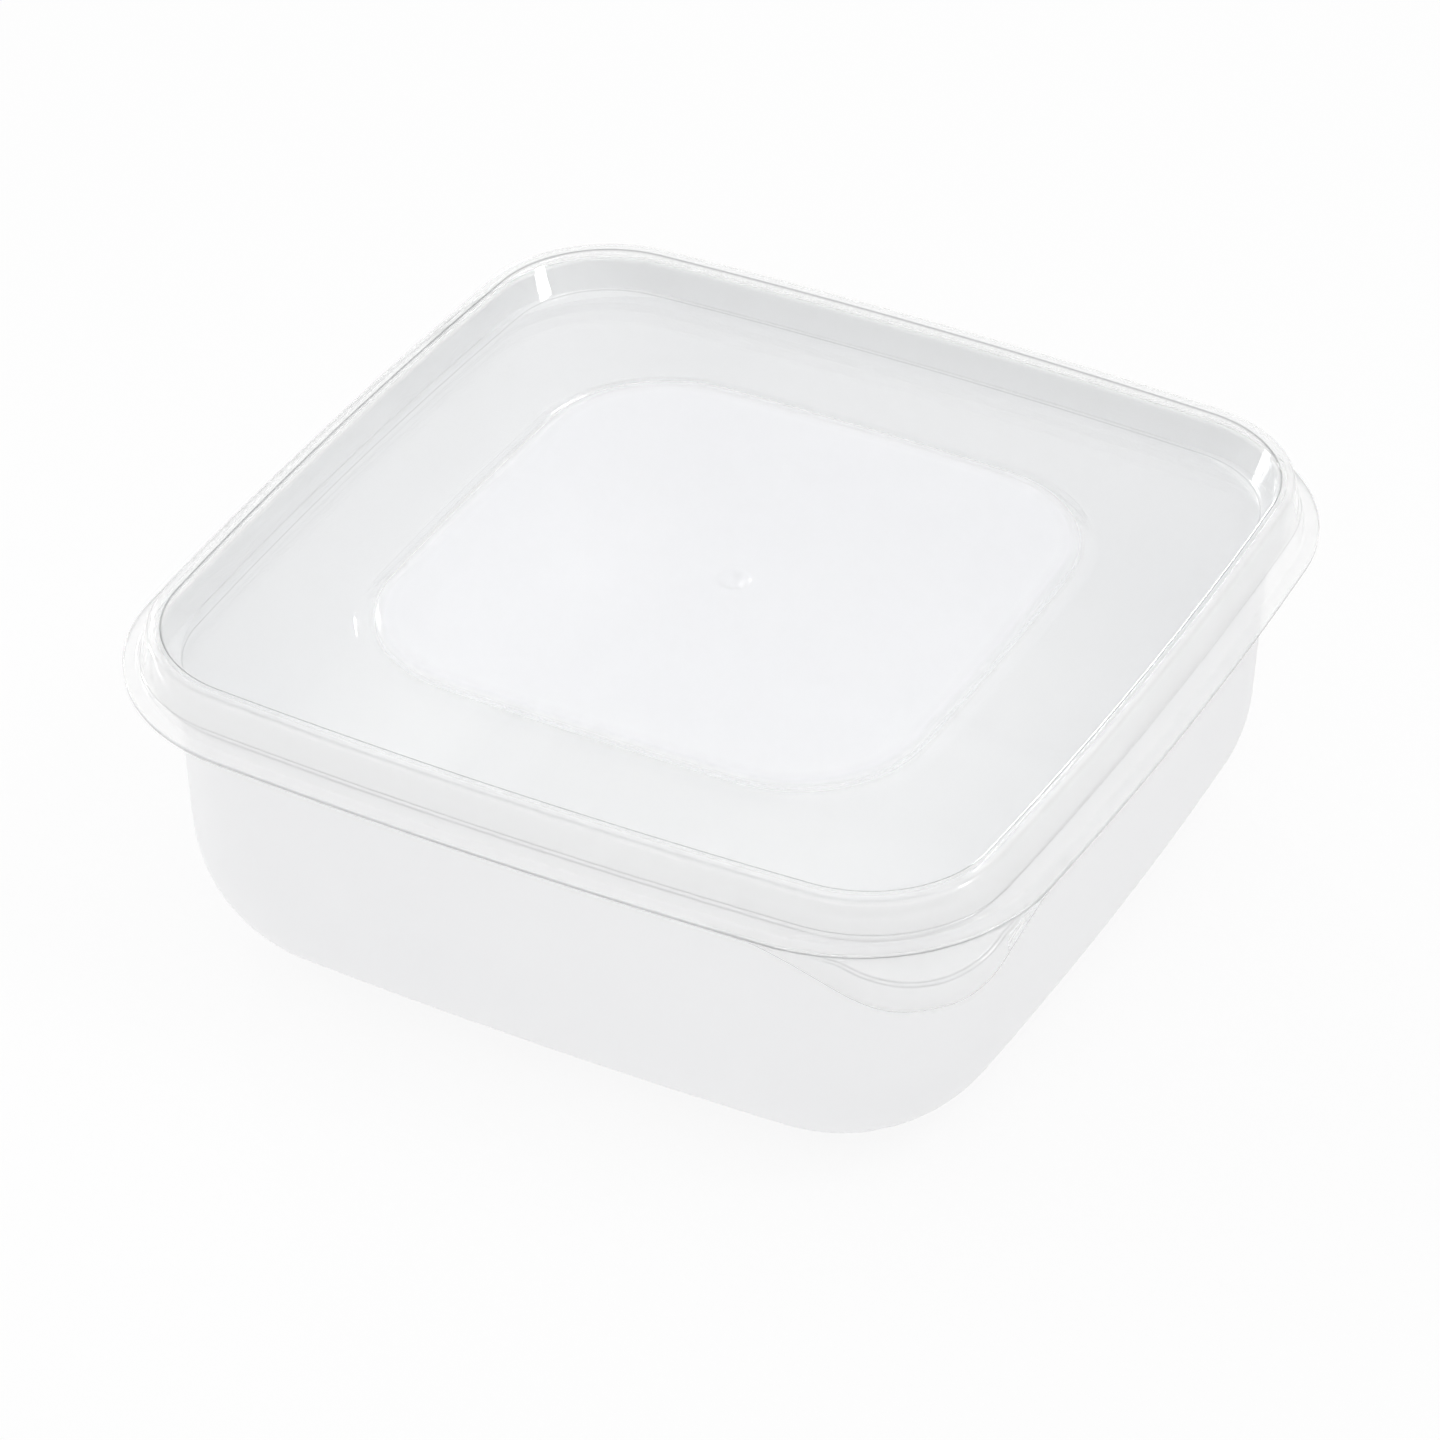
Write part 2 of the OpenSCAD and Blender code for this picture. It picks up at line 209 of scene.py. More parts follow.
def grid_piece(name, grid, painted_fold_shade, veil, haze, start, end):
    """A closed piece from a grid of points, whose rows run round it. Neighbouring points
    make quads, and a pole closes each end. Normals are the sum of the faces' normals
    times their areas. The painted fold shade (thin dark lines painted along folds), the
    veil and the haze are kept per point for the material."""
    rows, cols = grid.shape[:2]
    verts = grid.reshape(-1, 3)
    step = np.arange(cols)
    r = np.arange(rows - 1)[:, None] * cols
    nxt = (step + 1) % cols
    quads = np.stack([r + step, r + nxt, r + nxt + cols, r + step + cols], -1).reshape(-1, 4)
    tris = []
    for pole, row, flip in ((start, 0, True), (end, rows - 1, False)):
        ring = np.stack([row * cols + step, row * cols + nxt, np.full(cols, len(verts))], -1)
        verts = np.vstack([verts, pole])
        tris.append(ring[:, ::-1] if flip else ring)
    tris = np.vstack(tris)
    halves = np.vstack([quads[:, [0, 1, 2]], quads[:, [0, 2, 3]], tris])
    a, b, c = (verts[halves[:, k]] for k in range(3))
    across = np.cross(b - a, c - a)
    if np.einsum("ij,ij->i", a, across).sum() < 0:
        quads, tris, across = quads[:, ::-1], tris[:, ::-1], -across
    normals = np.zeros_like(verts)
    for k in range(3):
        np.add.at(normals, halves[:, k], across)
    normals /= np.maximum(np.linalg.norm(normals, axis=1, keepdims=True), 1e-12)
    mesh = bpy.data.meshes.new(name)
    mesh.from_pydata((verts * MM).tolist(), [], quads.tolist() + tris.tolist())
    mesh.polygons.foreach_set("use_smooth", np.ones(len(mesh.polygons), bool))
    mesh.normals_split_custom_set_from_vertices(normals.tolist())
    # The first attribute is painted shade: thin dark lines laid along the folds
    for key, value in (("painted_fold_shade", painted_fold_shade), ("veil", veil), ("haze", haze)):
        value = np.asarray(value, float)
        value = value if value.ndim == 2 else np.broadcast_to(value[:, None], (rows, cols))
        value = np.concatenate([value.reshape(-1), [value[0, 0], value[-1, 0]]])
        layer = mesh.attributes.new(key, "FLOAT", "POINT")
        layer.data.foreach_set("value", value.astype(np.float32))
    mesh.update()
    piece = bpy.data.objects.new(name, mesh)
    bpy.context.scene.collection.objects.link(piece)
    return piece


def skirt_half(z):
    """Outside of the rim at a height: its half width at the crest, and out below it
    by 1.2 in every 5.6."""
    return CREST_OUT + SKIRT_SLOPE * (CREST_Z - z)


def plug_half(z):
    """Wall of the sunk top at a height: its half width at the crest, and in below it
    by 2.6 in every 6.4."""
    return CREST_IN - PLUG_SLOPE * (CREST_Z - z)


def groove_out(z):
    """Outer side of the groove at a height: one wall's thickness inside the rim."""
    return skirt_half(z) - LID_WALL * np.hypot(1, SKIRT_SLOPE)


def groove_in(z):
    """Inner side of the groove at a height: one wall's thickness outside the sunk
    top's wall."""
    return plug_half(z) + LID_WALL * np.hypot(1, PLUG_SLOPE)


def gate_dish(r):
    """Height across the moulding gate: a dish 0.7 mm deep, as the square of 1 minus
    the square of the distance, so that its edge runs out softly."""
    return STAGE_Z - GATE_DEPTH * np.clip(1 - (r / GATE_R) ** 2, 0, 1) ** 2


def make_lid(marks):
    """The lid, swept from one section: the raised middle, the sunk top, its wall, the
    crest, the rim and the lip, and back underneath through the groove. Four corners on
    the lip's upright edge only carry its painted dark line, a painted shade."""
    # A fifth number in a corner is the strength of a painted dark line (painted shade) along its round
    section = rounded([
        (STAGE, STAGE_FLAT, STAGE_Z, 0),
        (STAGE, STAGE_HALF, STAGE_Z, STAGE_BEND),
        (STAGE, STAGE_HALF + STAGE_RUN, PANEL_Z, STAGE_FOOT_BEND),
        (CREST, plug_half(PANEL_Z), PANEL_Z, 1.1, 0.6),
        (CREST, plug_half(CREST_Z), CREST_Z, 1.15, 0.8, 0.75),
        (CREST, skirt_half(CREST_Z), CREST_Z, 1.15, 0.6),
        (CREST, skirt_half(CREASE_Z), CREASE_Z, 0.3, 1),
        (LIP, LIP_FLAT_HALF, LIP_TOP_Z, 0.8, 0.4),
        (LIP, LIP_HALF, LIP_TOP_Z, 0.25, 0),
        (LIP, LIP_HALF, LIP_Z + 0.65, 0, 0.2),
        (LIP, LIP_HALF, LIP_Z + 0.52, 0, 1),
        (LIP, LIP_HALF, LIP_Z + 0.36, 0, 1),
        (LIP, LIP_HALF, LIP_Z + 0.26, 0, 0.3),
        (LIP, LIP_HALF, LIP_Z, 0.2, 1),
        (CREST, SNAP_HALF, LIP_Z, 0.25, 0.9),
        (CREST, SNAP_HALF, SNAP_TOP_Z, 0.3),
        (CREST, groove_out(SNAP_SLOPE_Z), SNAP_SLOPE_Z, 0.3),
        (CREST, groove_out(SEAT_Z), SEAT_Z, 0.35),
        (CREST, groove_in(SEAT_Z), SEAT_Z, 0.35),
        (CREST, groove_in(UNDER_Z), UNDER_Z, 1.2),
        (STAGE, STAGE_HALF + STAGE_RUN - 0.2, UNDER_Z, STAGE_FOOT_BEND),
        (STAGE, STAGE_HALF - 0.2, STAGE_Z - PANEL_T, STAGE_BEND),
        (STAGE, STAGE_FLAT, STAGE_Z - PANEL_T, 0)])
    body = sweep(section, marks)
    radii = np.append(np.linspace(0.08, 1.08, 14) * GATE_R, 9.0)
    mix = np.append(np.ones(len(radii) - 1), 0.93)
    above = closing(body[0], GATE, gate_dish, mix, radii)
    below = closing(body[-1], (0, 0), level(STAGE_Z - PANEL_T), [0.5, 1], [20.0, 4.0])
    inner, outer = np.zeros(len(above)), np.zeros(len(below))
    half = np.concatenate([inner, section[:, 2], outer])
    return grid_piece(
        "lid_moulding", np.concatenate([above, body, below]),
        painted_fold_shade=np.concatenate([inner, section[:, 4], outer]),
        veil=np.clip((VEIL_END - half) / VEIL_FADE, 0, 1),
        haze=np.clip((half - HAZE_START) / HAZE_FADE, 0, 1),
        start=(*GATE, STAGE_Z - GATE_DEPTH), end=(0, 0, STAGE_Z - PANEL_T))


def corner_line(line, half, across):
    """How far out along the diagonal the outline lies, at each distance across it."""
    dense = 400
    quarter = np.repeat([0, 0, 1], dense)
    on_corner = np.repeat([0, 1, 0], dense)
    share = np.concatenate([np.linspace(*ends, dense) for ends in ((0.5, 1), (0, 1), (0, 0.5))])
    xy = outline(line, np.array(half), (quarter, on_corner, share))
    out, side = (xy[:, 0] - xy[:, 1]) / np.sqrt(2), (xy[:, 0] + xy[:, 1]) / np.sqrt(2)
    order = np.argsort(side)
    return np.interp(across, side[order], out[order])


def tab_grid():
    """A finger tab at the corner +X, -Y, as distances out, across and up. Its top falls
    30 degrees outwards from the lip, and its turned-down edge has the depth
    7.2 (1 + cos(turn)) / 2, with the turn from 0 near its middle to half a turn at its
    ends. Rows run over the top, down the edge and back up inside."""
    across = np.linspace(-TAB_HALF_L, TAB_HALF_L, TAB_COLUMNS)
    share = np.clip((np.abs(across) - TAB_FLAT_HALF_L) / TAB_RUN, 0, 1)
    low = LIP_Z + TAB_SINK - (TAB_DROP + TAB_SINK) * (1 + np.cos(np.pi * share)) / 2

    def plane(out):
        return np.minimum(TAB_TOP_Z, TAB_CORNER_Z - TAB_SLOPE * (out - LIP_CORNER_OUT))

    edge = corner_line(TAB, TAB_HALF, across)
    wall = corner_line(TAB, TAB_HALF - TAB_T, across)
    unit = edge - corner_line(TAB, TAB_HALF - 1.0, across)
    lip_in = np.minimum(corner_line(LIP, LIP_HALF - 0.7, across), wall - 0.25 * unit)
    top_z, depth = plane(edge), plane(edge) - low
    # How strongly the painted dark lines show: they fade out where the edge is shallow
    painted_line_fade = np.clip((depth - TAB_PAINTED_LINE_DEPTH) / TAB_PAINTED_LINE_DEPTH, 0, 1)
    turn = np.minimum(TAB_ROUND, 0.42 * depth)
    foot = np.minimum(TAB_FOOT_ROUND, 0.3 * depth)
    rows, painted_fold_shade = [], []

    def row(out, height, painted_line):
        rows.append(np.stack([out, across, height], -1))
        painted_fold_shade.append(painted_line * np.ones(len(across)))

    # Over the top and round its outer edge, with a painted dark line at each end of the round
    row(lip_in, plane(lip_in), 0)
    before = edge - (turn + 0.2) * unit
    row(before, plane(before), 0)
    round_z = plane(edge - turn * unit)
    fall = top_z - turn - round_z
    for a, line in zip(np.linspace(0, np.pi / 2, 6), (0, 0.9, 0, 0, 0.8, 0)):
        row(edge - turn * (1 - np.sin(a)) * unit, round_z + fall * (1 - np.cos(a)), line * painted_line_fade)

    # Down the turned edge, round its foot and up to the inside, with painted dark lines on the edge and round
    # the foot
    row(edge, top_z - turn - 0.12 * (depth - turn), 0)
    row(edge, low + foot + 0.12 * depth, 0)
    row(edge, low + foot + 0.04 * depth, 0.6 * painted_line_fade)
    for a in np.linspace(0, np.pi / 2, 4):
        row(edge - foot * (1 - np.cos(a)) * unit, low + foot * (1 - np.sin(a)), np.sin(2 * a))
    foot_in = TAB_FOOT_ROUND_IN * np.minimum(1, foot / TAB_FOOT_ROUND)
    for a in np.linspace(0, np.pi / 2, 4):
        row(wall + TAB_FOOT_ROUND_IN * (1 - np.sin(a)) * unit, low + foot_in * (1 - np.cos(a)), 0)

    # Up the inside, with a painted dark line where it turns under the top, and back to the lip
    inside_z = np.maximum(plane(wall) - TAB_T, low + foot + 0.05)
    under = wall - 0.5 * unit
    row(wall, low + foot + 0.04, 0)
    row(wall, np.maximum(inside_z - 0.5, low + foot + 0.045), 0)
    row(wall - 0.08 * unit, inside_z - 0.25, 0)
    row(wall - 0.15 * unit, inside_z, 0.5 * painted_line_fade)
    row(wall - 0.24 * unit, inside_z + 0.02, 0)
    row(np.minimum(under, lip_in), np.maximum(plane(under) - TAB_T, low + foot + 0.05), 0)
    root_z = np.minimum(plane(lip_in) - TAB_T, LIP_Z + 0.3)
    row(lip_in - 0.02 * unit, np.maximum(root_z, low + foot + 0.06), 0)
    return np.array(rows), np.array(painted_fold_shade, float)


def make_tab(name, far):
    """A finger tab turned out of the diagonal, or its twin at the far corner, which is
    the same tab turned by half a turn about the box's middle."""
    rows, painted_fold_shade = tab_grid()
    x = (rows[..., 0] + rows[..., 1]) / np.sqrt(2)
    y = (rows[..., 1] - rows[..., 0]) / np.sqrt(2)
    grid = np.stack([x, y, rows[..., 2]], -1)
    if far:
        grid = grid * (-1, -1, 1)
    loop = np.concatenate([grid, grid[:1]])
    loop = np.swapaxes(loop, 0, 1)[:, :-1]
    none = np.zeros(len(loop))
    return grid_piece(name, loop, painted_fold_shade=painted_fold_shade.T, veil=none, haze=none + TAB_HAZE,
                      start=loop[0].mean(0), end=loop[-1].mean(0))


def base_dish(r):
    """Height across the gate's dish under the base: as 1 minus the square of the
    distance."""
    return FOOT_RISE + BASE_GATE_DEPTH * np.clip(1 - (r / BASE_GATE_R) ** 2, 0, 1)


def make_container(marks):
    """The container, swept from one section. Outside are a foot ring, a quarter round,
    a leaning wall, a ledge and a bead under the lid, then come the rim, an inner ledge
    and the same round inside."""
    lean = np.radians(LEAN)
    rise = np.tan(lean)
    low_z = BASE_ROUND_R * (1 - np.sin(lean))
    inner_r = BASE_ROUND_R - WALL_T
    floor_turn = np.arcsin((inner_r - FLOOR_EXTRA) / inner_r)

    def bowl(radius, first, last):
        return [(*WALL, BASE_HALF + radius * np.cos(a), BASE_ROUND_R + radius * np.sin(a), 0)
                for a in np.linspace(first, last, BOWL_STEPS)]

    def halfway(half, top_z):
        fall = 0.5 * (top_z - low_z)
        return WALL, half - fall * rise, low_z + fall, 0

    foot = rounded([
        (FOOT, FOOT_IN_HALF, FOOT_RISE, 0),
        (FOOT, FOOT_HALF, FOOT_RISE, 0.5),
        (FOOT, FOOT_EDGE_HALF, 0, 0.5),
        (WALL, FOOT_OUT_HALF, 0, 0)])
    rim = rounded([
        halfway(WALL_HALF, LEDGE_Z),
        (WALL, WALL_HALF, LEDGE_Z, 0.35),
        (CREST, RIM_HALF, LEDGE_Z, 0.15),
        (CREST, RIM_HALF, BEAD_Z - BEAD_RUN, 0.25),
        (CREST, BEAD_HALF, BEAD_Z, 0.25),
        (CREST, BEAD_HALF, BEAD_TOP_Z, 0.25),
        (CREST, RIM_HALF, BEAD_TOP_Z + BEAD_RUN, 0.25),
        (CREST, RIM_HALF, SEAT_Z, 0.25),
        (CREST, RIM_STEP_HALF, SEAT_Z, 0.25),
        (CREST, RIM_IN_HALF, SEAT_Z - RIM_STEP, 0.3),
        (CREST, RIM_IN_HALF, LEDGE_TOP_Z, 0.4),
        (WALL, WALL_IN_HALF, LEDGE_TOP_Z, 0.4),
        halfway(WALL_IN_HALF, LEDGE_TOP_Z)])
    outside = bowl(BASE_ROUND_R, -np.pi / 2, -lean)
    inside = bowl(inner_r, -lean, -floor_turn)
    section = np.vstack([foot, outside, rim, inside])
    body = sweep(section, marks)
    below = closing(body[0], (0, 0), base_dish, [1, 1, 1, 1, 1, 0.5], [0.6, 1.2, 1.8, 2.5, 2.8, 20.0])
    floor = closing(body[-1], (0, 0), level(FLOOR_Z), [0.5, 1], [20.0, 3.0])
    grid = np.concatenate([below, body, floor])
    none = np.zeros(len(grid))
    painted_fold_shade = np.concatenate([np.zeros(len(below)), section[:, 4], np.zeros(len(floor))])
    return grid_piece("container_moulding", grid, painted_fold_shade=painted_fold_shade, veil=none, haze=none,
                      start=(0, 0, FOOT_RISE + BASE_GATE_DEPTH), end=(0, 0, FLOOR_Z))


def node(tree, kind, inputs=None, **settings):
    """Adds a shader node. Inputs are values, or the sockets that feed them."""
    n = tree.nodes.new(kind)
    for key, value in settings.items():
        setattr(n, key, value)
    for key, value in (inputs or {}).items():
        if isinstance(value, bpy.types.NodeSocket):
            tree.links.new(value, n.inputs[key])
        else:
            n.inputs[key].default_value = value
    return n


def maths(tree, kind, a, b, clamp=False):
    """One step of arithmetic between two values."""
    return node(tree, "ShaderNodeMath", {0: a, 1: b}, operation=kind, use_clamp=clamp).outputs[0]


def span(tree, value, low, high, to_low=0.0, to_high=1.0):
    """Maps a value smoothly from one range to another."""
    return node(tree, "ShaderNodeMapRange", {
        "Value": value, "From Min": low, "From Max": high, "To Min": to_low, "To Max": to_high},
        interpolation_type="SMOOTHSTEP").outputs[0]


def blend(tree, share, a, b):
    """Mixes two colours: the first at 0, the second at 1."""
    return node(tree, "ShaderNodeMix", {"Factor": share, 6: a, 7: b}, data_type="RGBA").outputs[2]


def mixed(tree, share, first, second):
    """Mixes two shaders: none of the second at 0, only the second at 1."""
    return node(tree, "ShaderNodeMixShader", {"Fac": share, 1: first, 2: second}).outputs[0]


def put_out(tree, kind, shader):
    """Gives the finished shader to the material or the world."""
    node(tree, kind, {0: shader})


def moulded_surface():
    """Node group for moulded plastic: a faint orange-peel height, slow cloudiness in
    the milk of the plastic, hair-fine scuffs and sparse specks, in Object coordinates."""
    tree = bpy.data.node_groups.new("moulded_surface", "ShaderNodeTree")
    face = tree.interface
    face.new_socket("Peel", in_out="INPUT", socket_type="NodeSocketFloat").default_value = 1
    for name in ("Height", "Cloud", "Scuffs", "Specks"):
        face.new_socket(name, in_out="OUTPUT", socket_type="NodeSocketFloat")
    inlet, outlet = tree.nodes.new("NodeGroupInput"), tree.nodes.new("NodeGroupOutput")
    place = tree.nodes.new("ShaderNodeTexCoord").outputs["Object"]

    def noise(scale, detail, vector=place, distortion=0.0):
        return node(tree, "ShaderNodeTexNoise", {
            "Vector": vector, "Scale": scale, "Detail": detail, "Distortion": distortion}).outputs[0]

    waves = maths(tree, "MULTIPLY", noise(28, 2), 0.6)
    peel = maths(tree, "MULTIPLY", maths(tree, "MULTIPLY", noise(900, 3), 0.04), inlet.outputs["Peel"])
    tree.links.new(maths(tree, "ADD", waves, peel), outlet.inputs["Height"])
    tree.links.new(span(tree, noise(16, 3, distortion=0.6), 0.3, 0.7), outlet.inputs["Cloud"])
    drawn = node(tree, "ShaderNodeMapping", {
        "Vector": place, "Rotation": (0.4, 0.5, 0.9), "Scale": (1, 26, 26)}).outputs[0]
    hair, patch = span(tree, noise(60, 4, drawn), 0.62, 0.7), span(tree, noise(35, 1), 0.5, 0.65)
    tree.links.new(maths(tree, "MULTIPLY", hair, patch), outlet.inputs["Scuffs"])
    cells = node(tree, "ShaderNodeTexVoronoi", {"Vector": place, "Scale": 38}).outputs["Distance"]
    tree.links.new(span(tree, cells, 0.012, 0.03, 1, 0), outlet.inputs["Specks"])
    return tree


def finish(name, surface, peel):
    """A new material's tree, with the moulded surface group and the attributes."""
    material = bpy.data.materials.new(name)
    material.use_nodes = True
    tree = material.node_tree
    tree.nodes.clear()
    moulded = node(tree, "ShaderNodeGroup", {"Peel": peel}, node_tree=surface).outputs
    # The first attribute read here is the painted shade of the fold lines
    marks = [node(tree, "ShaderNodeAttribute", attribute_name=key).outputs["Fac"]
             for key in ("painted_fold_shade", "veil", "haze")]
    return material, tree, moulded, *marks


def milky_plastic(surface):
    """Milky plastic: near white with a breath of lavender, cloudy and softly glossy.
    Light soaks into it, so a lit wall glows on its other side too."""
    material, tree, moulded, *_ = finish("milky_plastic_finish", surface, 1.0)
    thin_milk, thick_milk, speck = (0.912, 0.915, 0.938, 1), (0.937, 0.94, 0.958, 1), (0.45, 0.43, 0.4, 1)
    colour = blend(tree, moulded["Cloud"], thin_milk, thick_milk)
    colour = blend(tree, maths(tree, "MULTIPLY", moulded["Specks"], 0.3), colour, speck)
    bump = node(tree, "ShaderNodeBump", {"Height": moulded["Height"], "Strength": 0.08, "Distance": 0.002})
    rough = maths(tree, "ADD", 0.3, maths(tree, "MULTIPLY", moulded["Scuffs"], 0.1))
    shader = node(tree, "ShaderNodeBsdfPrincipled", {
        "Base Color": colour, "Roughness": rough, "Normal": bump.outputs[0], "IOR": 1.49,
        "Subsurface Weight": 0.7, "Subsurface Radius": (1, 1, 1), "Subsurface Scale": 0.003})
    put_out(tree, "ShaderNodeOutputMaterial", shader.outputs[0])
    return material


def clear_plastic(surface):
    """Clear lid plastic. Its gloss is the full gloss of a clear surface. Under it most
    light goes through, and the rest meets a thin milky veil that is denser on the raised
    middle and hazy in the thick rim. Along sharp folds a thin dark line of painted shade
    is laid into what shows through. Lamplight goes through it undimmed to what lies
    under the lid."""
    material, tree, moulded, painted_fold_shade, veil, haze = finish("clear_lid_plastic_finish", surface, 0.12)
    path = node(tree, "ShaderNodeLightPath").outputs
    seen = maths(tree, "SUBTRACT", 1, maths(tree, "MAXIMUM", path["Is Shadow Ray"], path["Is Diffuse Ray"]))

    plain, cloudy = (0.90, 0.91, 0.905, 1), (0.94, 0.945, 0.94, 1)
    milky, hazy = (0.885, 0.885, 0.925, 1), (0.98, 0.98, 0.98, 1)
    colour = blend(tree, moulded["Cloud"], plain, cloudy)
    colour = blend(tree, veil, colour, milky)
    colour = blend(tree, haze, colour, hazy)
    bump = node(tree, "ShaderNodeBump", {
        "Height": moulded["Height"], "Strength": 0.02, "Distance": 0.002}).outputs[0]
    rough = maths(tree, "ADD", 0.045, maths(tree, "MULTIPLY", moulded["Scuffs"], 0.05))
    body = node(tree, "ShaderNodeBsdfPrincipled", {
        "Base Color": colour, "Roughness": rough, "Normal": bump,
        "IOR": 1.49, "Specular IOR Level": 0.0,
        "Subsurface Weight": 0.7, "Subsurface Radius": (1, 1, 1), "Subsurface Scale": 0.002})

    # The last colour is painted shade: the thin dark lines laid along the lid's folds
    clear_tint, hazy_tint, painted_line_shade = (0.996, 0.998, 0.996, 1), (0.99, 0.991, 0.99, 1), (0.38, 0.39, 0.39, 1)
    tint_and_painted_lines = blend(tree, haze, clear_tint, hazy_tint)
    tint_and_painted_lines = blend(tree, span(tree, painted_fold_shade, 0.4, 0.9), tint_and_painted_lines, painted_line_shade)
    through = node(tree, "ShaderNodeBsdfTransparent", {"Color": tint_and_painted_lines})

    dull = maths(tree, "ADD", 0.05, maths(tree, "MULTIPLY", veil, 0.3))
    dull = maths(tree, "ADD", dull, maths(tree, "MULTIPLY", haze, 0.12), clamp=True)
    inner = mixed(tree, maths(tree, "MULTIPLY", dull, seen), through.outputs[0], body.outputs[0])

    gloss = node(tree, "ShaderNodeBsdfGlossy", {"Color": (1, 1, 1, 1), "Roughness": rough, "Normal": bump})
    inside = node(tree, "ShaderNodeNewGeometry").outputs["Backfacing"]
    index = span(tree, inside, 0, 1, 1.49, 1 / 1.49)
    mirror = node(tree, "ShaderNodeFresnel", {"IOR": index, "Normal": bump}).outputs[0]
    put_out(tree, "ShaderNodeOutputMaterial",
            mixed(tree, maths(tree, "MULTIPLY", mirror, seen), inner, gloss.outputs[0]))
    return material


def make_floor():
    """A wide pale floor, a little lit from below as a photographer's table is. What the
    camera and reflections see of it is mostly plain white, and the rest is lit, so it
    keeps a faint shadow."""
    mesh = bpy.data.meshes.new("floor")
    half = 6.0
    corners = [(-half, -half, 0), (half, -half, 0), (half, half, 0), (-half, half, 0)]
    mesh.from_pydata(corners, [], [(0, 1, 2, 3)])
    floor = bpy.data.objects.new("floor", mesh)
    bpy.context.scene.collection.objects.link(floor)
    material = bpy.data.materials.new("pale_floor")
    material.use_nodes = True
    tree = material.node_tree
    tree.nodes.clear()
    path = node(tree, "ShaderNodeLightPath").outputs
    seen = maths(tree, "MAXIMUM", path["Is Camera Ray"], path["Is Glossy Ray"])
    seen = maths(tree, "MAXIMUM", seen, path["Is Transmission Ray"])
    lit = node(tree, "ShaderNodeBsdfDiffuse", {"Color": (0.9, 0.9, 0.9, 1)})
    glow = node(tree, "ShaderNodeEmission", {"Color": (1, 1, 1, 1), "Strength": 1.0})
    share = maths(tree, "ADD", 0.28, maths(tree, "MULTIPLY", seen, 0.57))
    put_out(tree, "ShaderNodeOutputMaterial", mixed(tree, share, lit.outputs[0], glow.outputs[0]))
    mesh.materials.append(material)


def make_world():
    """A white room: white to the eye. As light it is greyer in front and on the right,
    and brighter high on the right and on the left. Mirrored in the plastic it is bright
    at the back right instead, and darkens towards the horizon."""
    world = bpy.data.worlds.new("white_room")
    bpy.context.scene.world = world
    world.use_nodes = True
    tree = world.node_tree
    tree.nodes.clear()
    path = node(tree, "ShaderNodeLightPath").outputs
    place = node(tree, "ShaderNodeTexCoord").outputs["Generated"]

    def side(towards, low, high, to_low, to_high):
        """A part of the sky: to_high where it lies towards a direction, else to_low."""
        along = node(tree, "ShaderNodeVectorMath", {0: place, 1: towards}, operation="DOT_PRODUCT")
        return span(tree, along.outputs["Value"], low, high, to_low, to_high)

    mirrored = path["Is Glossy Ray"]
    lit = maths(tree, "SUBTRACT", 1, mirrored)
    above = maths(tree, "SUBTRACT", 1, maths(tree, "MULTIPLY", mirrored, 0.7))
    strength = side((-0.15, -0.98, 0.1), 0.1, 0.95, 0.81, 0.6)
    for share, part in (
            (lit, side((0.9, 0.44, 0), 0.2, 0.95, 0, -0.5)),
            (mirrored, side((-0.3, -0.8, 0.5), 0.3, 0.9, 0, -0.2)),
            (mirrored, side((0.57, 0.71, 0.36), 0.6, 0.93, 0, 0.35)),
            (above, side((0.42, 0, 0.91), 0.7, 0.95, 0, 0.6))):
        strength = maths(tree, "ADD", strength, maths(tree, "MULTIPLY", share, part))
    strength = maths(tree, "ADD", strength, side((-0.93, -0.2, 0.3), 0.7, 0.97, 0, 0.35))
    strength = maths(tree, "ADD", strength, side((-0.7, 0.68, 0.2), 0.75, 0.97, 0, 0.25))
    horizon = maths(tree, "MULTIPLY", side((0, 0, 1), 0.02, 0.35, 0.35, 0), mirrored)
    strength = maths(tree, "MULTIPLY", strength, maths(tree, "SUBTRACT", 1, horizon))
    colour = blend(tree, path["Is Camera Ray"], strength, (1, 1, 1, 1))
    room = node(tree, "ShaderNodeBackground", {"Color": colour, "Strength": 1.0})
    put_out(tree, "ShaderNodeOutputWorld", room.outputs[0])


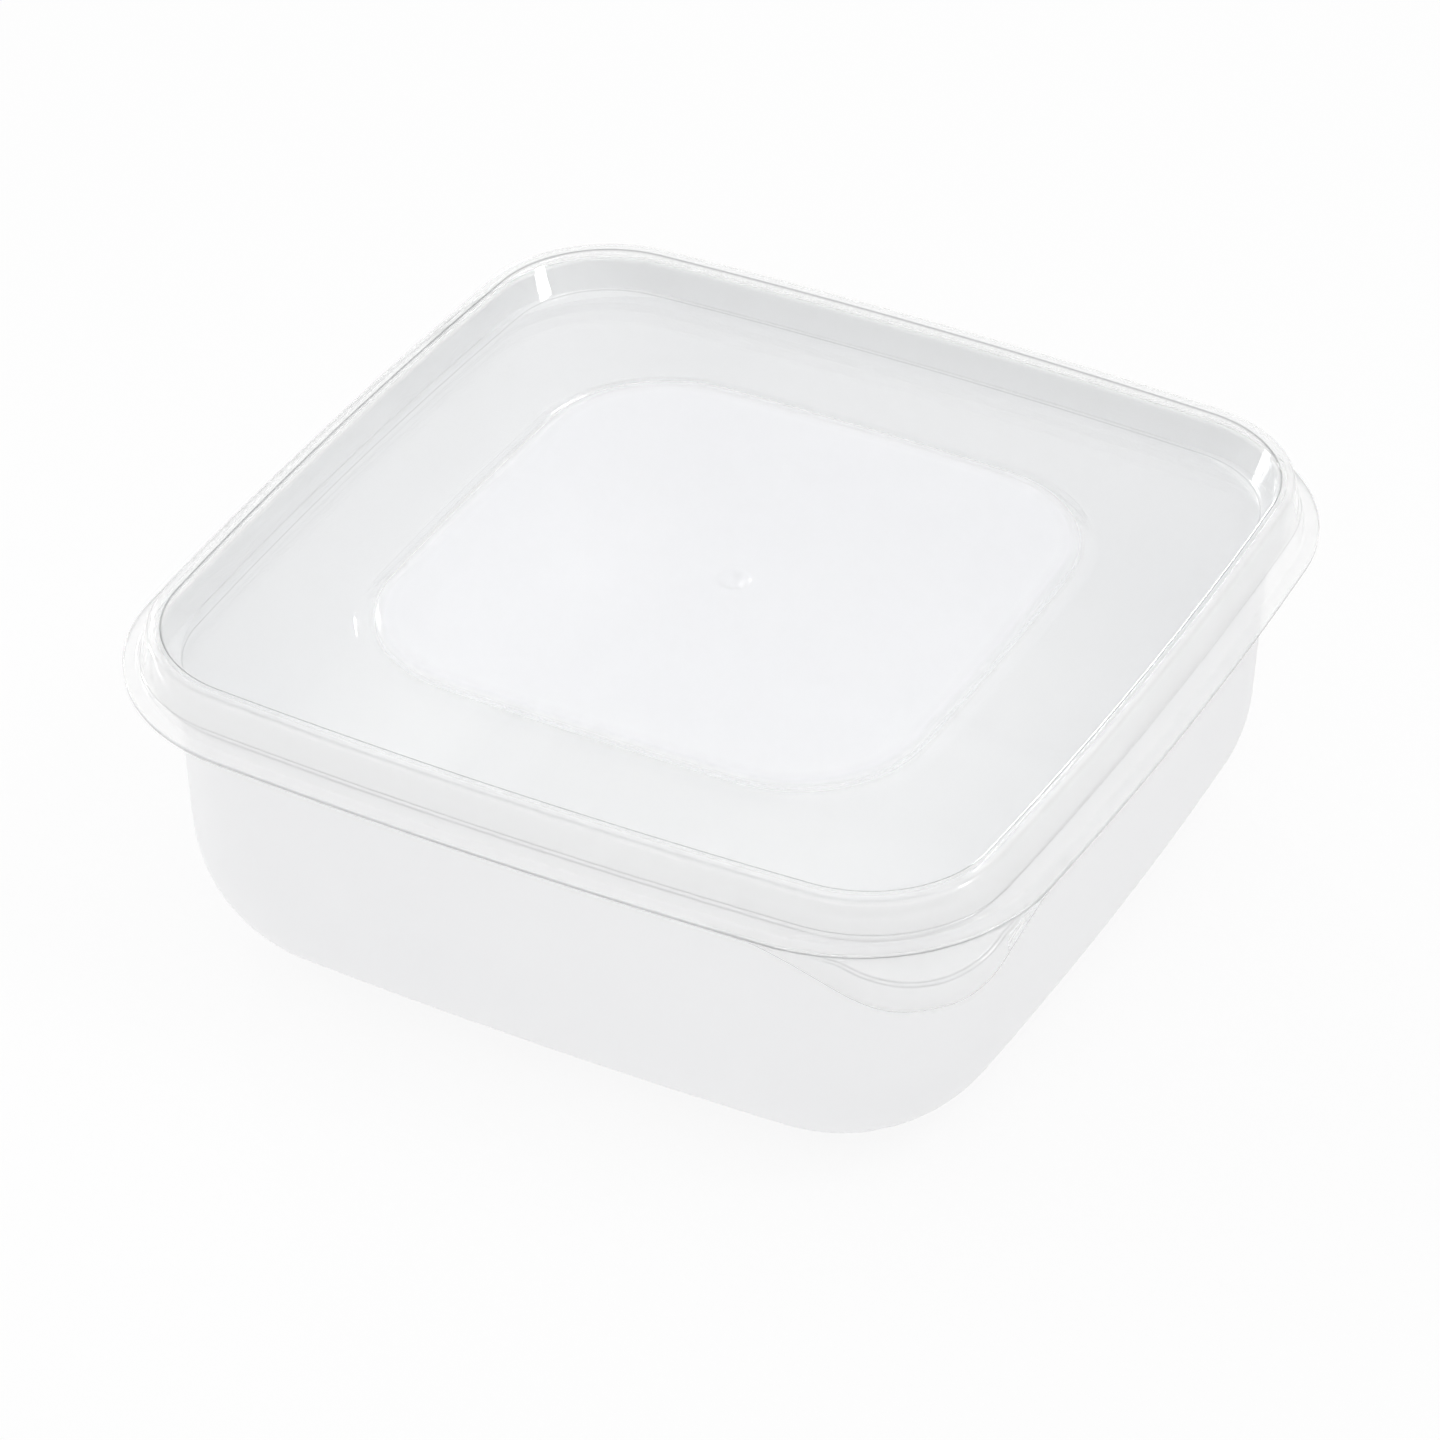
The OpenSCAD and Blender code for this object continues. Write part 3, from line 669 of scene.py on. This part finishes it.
def make_lamp(name, place, target, size, watts, lights=True):
    """A square soft box at a place, turned to face a target, both in metres. One that
    doesn't light is only seen mirrored in the plastic."""
    light = bpy.data.lights.new(name, "AREA")
    light.shape, light.size, light.energy = "SQUARE", size, watts
    lamp = bpy.data.objects.new(name, light)
    back = np.array(place, float) - np.array(target, float)
    back /= np.linalg.norm(back)
    right = np.cross((0, 0, 1), back)
    right /= np.linalg.norm(right)
    turned = np.eye(4)
    turned[:3] = np.stack([right, np.cross(back, right), back, place], -1)
    lamp.matrix_world = Matrix(turned.tolist())
    lamp.visible_diffuse = lights
    bpy.context.scene.collection.objects.link(lamp)


def make_camera():
    """The photograph's viewpoint: 28 degrees round from the front and 36 up, about one
    metre away."""
    data = bpy.data.cameras.new("camera")
    data.sensor_width, data.lens = 36.0, 153.88
    data.clip_start, data.clip_end = 0.05, 20
    place = (0.3772, -0.7071, 0.6180)
    camera = bpy.data.objects.new("camera", data)
    bpy.context.scene.collection.objects.link(camera)
    right, up, back = (0.88135, 0.47246, 0), (-0.27982, 0.52199, 0.80574), (0.38068, -0.71014, 0.59226)
    turned = np.eye(4)
    turned[:3] = np.stack([right, up, back, place], -1)
    camera.matrix_world = Matrix(turned.tolist())
    bpy.context.scene.camera = camera


marks = columns()
surface = moulded_surface()
milky = milky_plastic(surface)
clear = clear_plastic(surface)

container = make_container(marks)
container.data.materials.append(milky)
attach(container, "container")
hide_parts("container")

for piece in (make_lid(marks), make_tab("front_finger_tab", False), make_tab("back_finger_tab", True)):
    piece.data.materials.append(clear)
    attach(piece, "lid")
    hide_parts("lid")

make_floor()
make_world()
make_lamp("key", (-0.935, 0.84, 0.86), (0, 0, 0.05), 0.08, 0.8)
make_lamp("window", (-0.956, 1.155, 0.171), (0, 0, 0.055), 0.15, 1.4, lights=False)
make_lamp("fill", (0.2, -1.2, 0.9), (0, 0, 0.03), 0.8, 1.3)
make_lamp("right_light", (0.85, 0.1, 1.25), (0, 0, 0.05), 0.4, 1.8)
make_lamp("right_card", (1.5, 0.1, 0.25), (0, 0, 0.05), 0.25, 4, lights=False)
make_lamp("left_card", (-1.5, 0.1, 0.3), (0, 0, 0.05), 0.25, 4, lights=False)
make_camera()
bpy.context.scene.view_settings.view_transform = "Standard"
